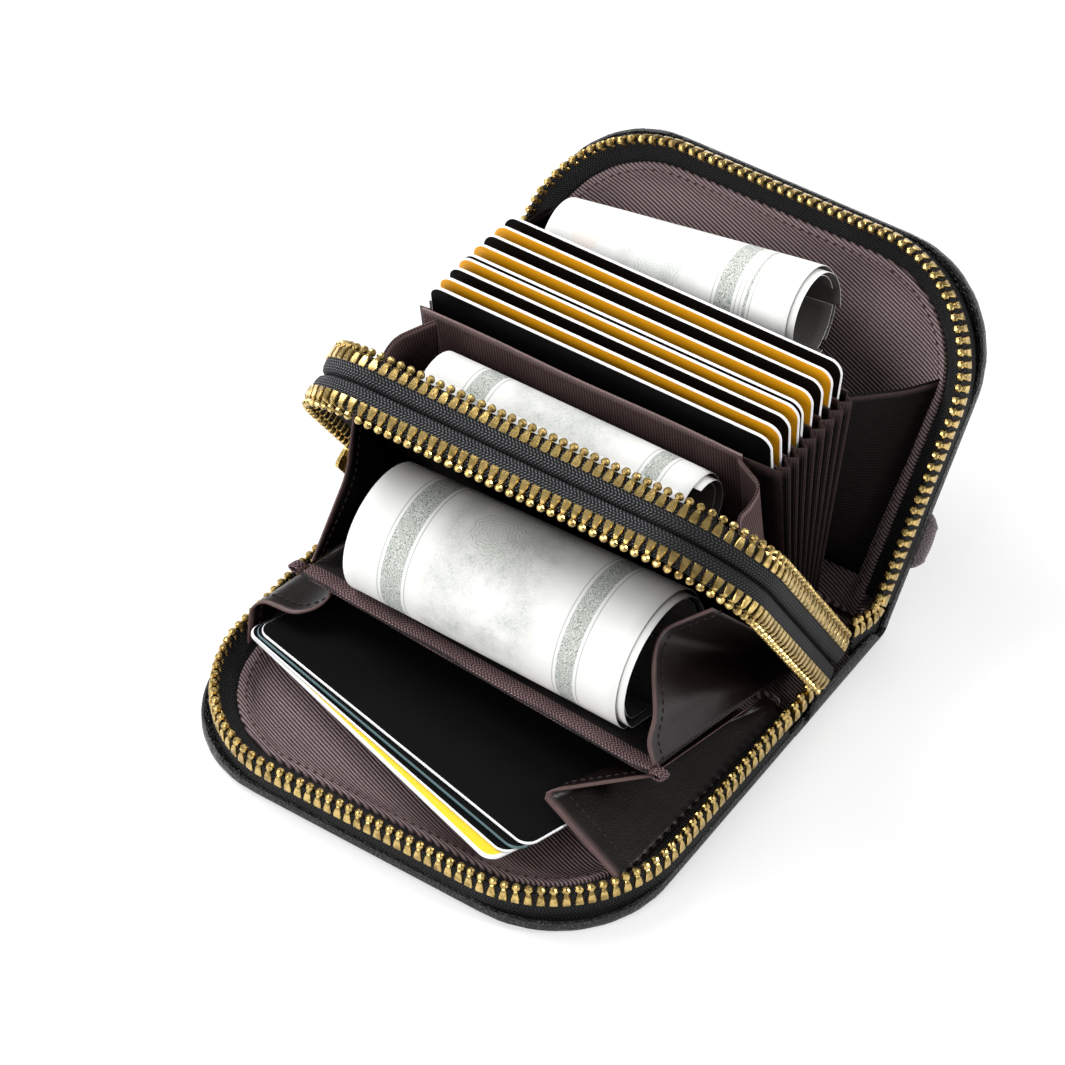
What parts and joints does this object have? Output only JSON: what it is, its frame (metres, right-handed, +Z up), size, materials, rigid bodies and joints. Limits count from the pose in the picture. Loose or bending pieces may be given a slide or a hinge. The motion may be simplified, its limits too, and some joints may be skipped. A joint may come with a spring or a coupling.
{
  "type": "accordion card wallet",
  "caption": "Open zip-round card wallet: folding covers, a divider, an accordion of card slots, a front pocket, gussets, brass zips, cards and rolled notes.",
  "frame": {"origin": "centre of the underside of the spine, on the table", "axes": "+X along the spine and its fold lines, +Y from the front cover towards the rear cover, +Z up"},
  "size_m": [0.1193, 0.1639, 0.0743],
  "materials": {
    "pebbled_leather": "glossy black pebbled leather",
    "board": "grey-brown stiffening board",
    "twill_lining": "brown-mauve diagonal twill",
    "grosgrain": "brown ribbed cloth",
    "zip_tape": "charcoal herringbone tape",
    "brass": "polished yellow brass",
    "binding": "brown herringbone binding",
    "thread": "brown sewing thread",
    "gusset": "smooth dark brown faux leather",
    "tab": "grey-lavender coated tab",
    "card_black": "glossy black",
    "card_orange": "satin orange",
    "card_white": "white with a yellow band",
    "note_paper": "off-white printed paper"
  },
  "bodies": {
    "spine": {"spine_leather": "pebbled_leather", "spine_lining": "twill_lining", "accordion_base": "grosgrain", "zip_stops": "brass", "accordion_leaf_05": "grosgrain", "front_pleats": "grosgrain", "rear_pleats": "grosgrain"},
    "front_cover": {"front_cover_leather": "pebbled_leather", "front_cover_board": "board", "front_cover_lining": "twill_lining", "front_cover_tape": "zip_tape", "front_cover_teeth": "brass"},
    "divider": {"divider_board": "board", "divider_front_lining": "twill_lining", "divider_front_tape": "zip_tape", "divider_front_teeth": "brass", "divider_rear_lining": "twill_lining", "divider_rear_tape": "zip_tape", "divider_rear_teeth": "brass", "middle_note_roll": "note_paper"},
    "rear_cover": {"rear_cover_leather": "pebbled_leather", "rear_cover_board": "board", "rear_cover_lining": "twill_lining", "rear_cover_tape": "zip_tape", "rear_cover_teeth": "brass", "side_tab": "tab", "rear_note_roll": "note_paper"},
    "front_pocket": {"pocket_panel": "twill_lining", "pocket_binding": "binding", "pocket_tacks": "thread", "front_gussets": "gusset", "front_note_roll": "note_paper"},
    "leaf_01": {"accordion_leaf_01": "grosgrain", "middle_gussets": "gusset"},
    "leaf_02": {"accordion_leaf_02": "grosgrain"},
    "leaf_03": {"accordion_leaf_03": "grosgrain"},
    "leaf_04": {"accordion_leaf_04": "grosgrain"},
    "leaf_06": {"accordion_leaf_06": "grosgrain"},
    "leaf_07": {"accordion_leaf_07": "grosgrain"},
    "leaf_08": {"accordion_leaf_08": "grosgrain"},
    "leaf_09": {"accordion_leaf_09": "grosgrain"},
    "leaf_10": {"accordion_leaf_10": "grosgrain", "rear_gussets": "gusset"},
    "rear_card_1": {"rear_card_1": "card_black"},
    "rear_card_2": {"rear_card_2": "card_orange"},
    "rear_card_3": {"rear_card_3": "card_black"},
    "rear_card_4": {"rear_card_4": "card_orange"},
    "rear_card_5": {"rear_card_5": "card_black"},
    "rear_card_6": {"rear_card_6": "card_orange"},
    "rear_card_7": {"rear_card_7": "card_black"},
    "rear_card_8": {"rear_card_8": "card_orange"},
    "rear_card_9": {"rear_card_9": "card_black"},
    "front_card_1": {"front_card_1": "card_white"},
    "front_card_2": {"front_card_2": "card_black"},
    "front_card_3": {"front_card_3": "card_black"},
    "front_card_4": {"front_card_4": "card_black"},
    "front_slider": {"front_slider": "brass"},
    "front_pull": {"front_pull": "brass"},
    "rear_slider": {"rear_slider": "brass"},
    "rear_pull": {"rear_pull": "brass"}
  },
  "joints": [
    {"name": "front_cover_fold", "type": "hinge", "parent": "spine", "child": "front_cover", "pos_m": [0, -0.016, 0.0025], "axis": [1, 0, 0], "range_deg": [-90, 0], "deforming": ["front_gussets", "front_note_roll", "middle_gussets", "middle_note_roll", "front_pleats"]},
    {"name": "divider_fold", "type": "hinge", "parent": "spine", "child": "divider", "pos_m": [0, 0, 0.0025], "axis": [1, 0, 0], "range_deg": [-32, 0]},
    {"name": "pocket_fold", "type": "hinge", "parent": "spine", "child": "front_pocket", "pos_m": [0, -0.0036, 0.0033], "axis": [1, 0, 0], "range_deg": [-71.7, 0]},
    {"name": "rear_cover_fold", "type": "hinge", "parent": "spine", "child": "rear_cover", "pos_m": [0, 0.016, 0.0025], "axis": [-1, 0, 0], "range_deg": [-38, 0], "deforming": ["rear_gussets", "rear_note_roll", "rear_pleats"]},
    {"name": "leaf_01_fold", "type": "hinge", "parent": "spine", "child": "leaf_01", "pos_m": [0, 0.002, 0.004], "axis": [1, 0, 0], "range_deg": [-8, 0]},
    {"name": "leaf_02_fold", "type": "hinge", "parent": "spine", "child": "leaf_02", "pos_m": [0, 0.0035, 0.004], "axis": [1, 0, 0], "range_deg": [-6, 0]},
    {"name": "leaf_03_fold", "type": "hinge", "parent": "spine", "child": "leaf_03", "pos_m": [0, 0.005, 0.004], "axis": [1, 0, 0], "range_deg": [-4, 0]},
    {"name": "leaf_04_fold", "type": "hinge", "parent": "spine", "child": "leaf_04", "pos_m": [0, 0.0065, 0.004], "axis": [1, 0, 0], "range_deg": [-2, 0]},
    {"name": "leaf_06_fold", "type": "hinge", "parent": "spine", "child": "leaf_06", "pos_m": [0, 0.0095, 0.004], "axis": [-1, 0, 0], "range_deg": [-2.4, 0]},
    {"name": "leaf_07_fold", "type": "hinge", "parent": "spine", "child": "leaf_07", "pos_m": [0, 0.011, 0.004], "axis": [-1, 0, 0], "range_deg": [-4.8, 0]},
    {"name": "leaf_08_fold", "type": "hinge", "parent": "spine", "child": "leaf_08", "pos_m": [0, 0.0125, 0.004], "axis": [-1, 0, 0], "range_deg": [-7.2, 0]},
    {"name": "leaf_09_fold", "type": "hinge", "parent": "spine", "child": "leaf_09", "pos_m": [0, 0.014, 0.004], "axis": [-1, 0, 0], "range_deg": [-9.6, 0]},
    {"name": "leaf_10_fold", "type": "hinge", "parent": "spine", "child": "leaf_10", "pos_m": [0, 0.0155, 0.004], "axis": [-1, 0, 0], "range_deg": [-12, 0]},
    {"name": "rear_card_1_slide", "type": "slide", "parent": "leaf_02", "child": "rear_card_1", "axis": [0, -0.1045, 0.9945], "range_m": [0, 0.03]},
    {"name": "rear_card_2_slide", "type": "slide", "parent": "leaf_03", "child": "rear_card_2", "axis": [0, -0.0698, 0.9976], "range_m": [0, 0.03]},
    {"name": "rear_card_3_slide", "type": "slide", "parent": "leaf_04", "child": "rear_card_3", "axis": [0, -0.0349, 0.9994], "range_m": [0, 0.03]},
    {"name": "rear_card_4_slide", "type": "slide", "parent": "spine", "child": "rear_card_4", "axis": [0, 0, 1], "range_m": [0, 0.03]},
    {"name": "rear_card_5_slide", "type": "slide", "parent": "spine", "child": "rear_card_5", "axis": [0, 0, 1], "range_m": [0, 0.03]},
    {"name": "rear_card_6_slide", "type": "slide", "parent": "leaf_06", "child": "rear_card_6", "axis": [0, 0.0419, 0.9991], "range_m": [0, 0.03]},
    {"name": "rear_card_7_slide", "type": "slide", "parent": "leaf_07", "child": "rear_card_7", "axis": [0, 0.0837, 0.9965], "range_m": [0, 0.03]},
    {"name": "rear_card_8_slide", "type": "slide", "parent": "leaf_08", "child": "rear_card_8", "axis": [0, 0.1253, 0.9921], "range_m": [0, 0.03]},
    {"name": "rear_card_9_slide", "type": "slide", "parent": "leaf_09", "child": "rear_card_9", "axis": [0, 0.1668, 0.986], "range_m": [0, 0.03]},
    {"name": "front_card_1_slide", "type": "slide", "parent": "front_cover", "child": "front_card_1", "axis": [0, -0.9912, 0.1323], "range_m": [0, 0.025]},
    {"name": "front_card_2_slide", "type": "slide", "parent": "front_cover", "child": "front_card_2", "axis": [0, -0.9912, 0.1323], "range_m": [0, 0.025]},
    {"name": "front_card_3_slide", "type": "slide", "parent": "front_cover", "child": "front_card_3", "axis": [0, -0.9912, 0.1323], "range_m": [0, 0.025]},
    {"name": "front_card_4_slide", "type": "slide", "parent": "front_cover", "child": "front_card_4", "axis": [0, -0.9912, 0.1323], "range_m": [0, 0.025]},
    {"name": "front_slider_slide", "type": "slide", "parent": "divider", "child": "front_slider", "axis": [0, -0.5299, 0.848], "range_m": [0, 0.035]},
    {"name": "front_pull_swing", "type": "hinge", "parent": "front_slider", "child": "front_pull", "pos_m": [-0.058, -0.0145, 0.009], "axis": [0, -0.848, -0.5299], "range_deg": [0, 150]},
    {"name": "rear_slider_slide", "type": "slide", "parent": "divider", "child": "rear_slider", "axis": [0, -0.5299, 0.848], "range_m": [0, 0.035]},
    {"name": "rear_pull_swing", "type": "hinge", "parent": "rear_slider", "child": "rear_pull", "pos_m": [-0.058, 0.00051, 0.01838], "axis": [0, -0.848, -0.5299], "range_deg": [0, 150]}
  ],
  "couplings": [
    {"joint": "divider_fold", "follows": "front_cover_fold", "ratio": 0.35556},
    {"joint": "pocket_fold", "follows": "front_cover_fold", "ratio": 0.79667},
    {"joint": "leaf_01_fold", "follows": "front_cover_fold", "ratio": 0.088889},
    {"joint": "leaf_02_fold", "follows": "front_cover_fold", "ratio": 0.066667},
    {"joint": "leaf_03_fold", "follows": "front_cover_fold", "ratio": 0.044444},
    {"joint": "leaf_04_fold", "follows": "front_cover_fold", "ratio": 0.022222},
    {"joint": "leaf_06_fold", "follows": "rear_cover_fold", "ratio": 0.063158},
    {"joint": "leaf_07_fold", "follows": "rear_cover_fold", "ratio": 0.12632},
    {"joint": "leaf_08_fold", "follows": "rear_cover_fold", "ratio": 0.18947},
    {"joint": "leaf_09_fold", "follows": "rear_cover_fold", "ratio": 0.25263},
    {"joint": "leaf_10_fold", "follows": "rear_cover_fold", "ratio": 0.31579}
  ]
}
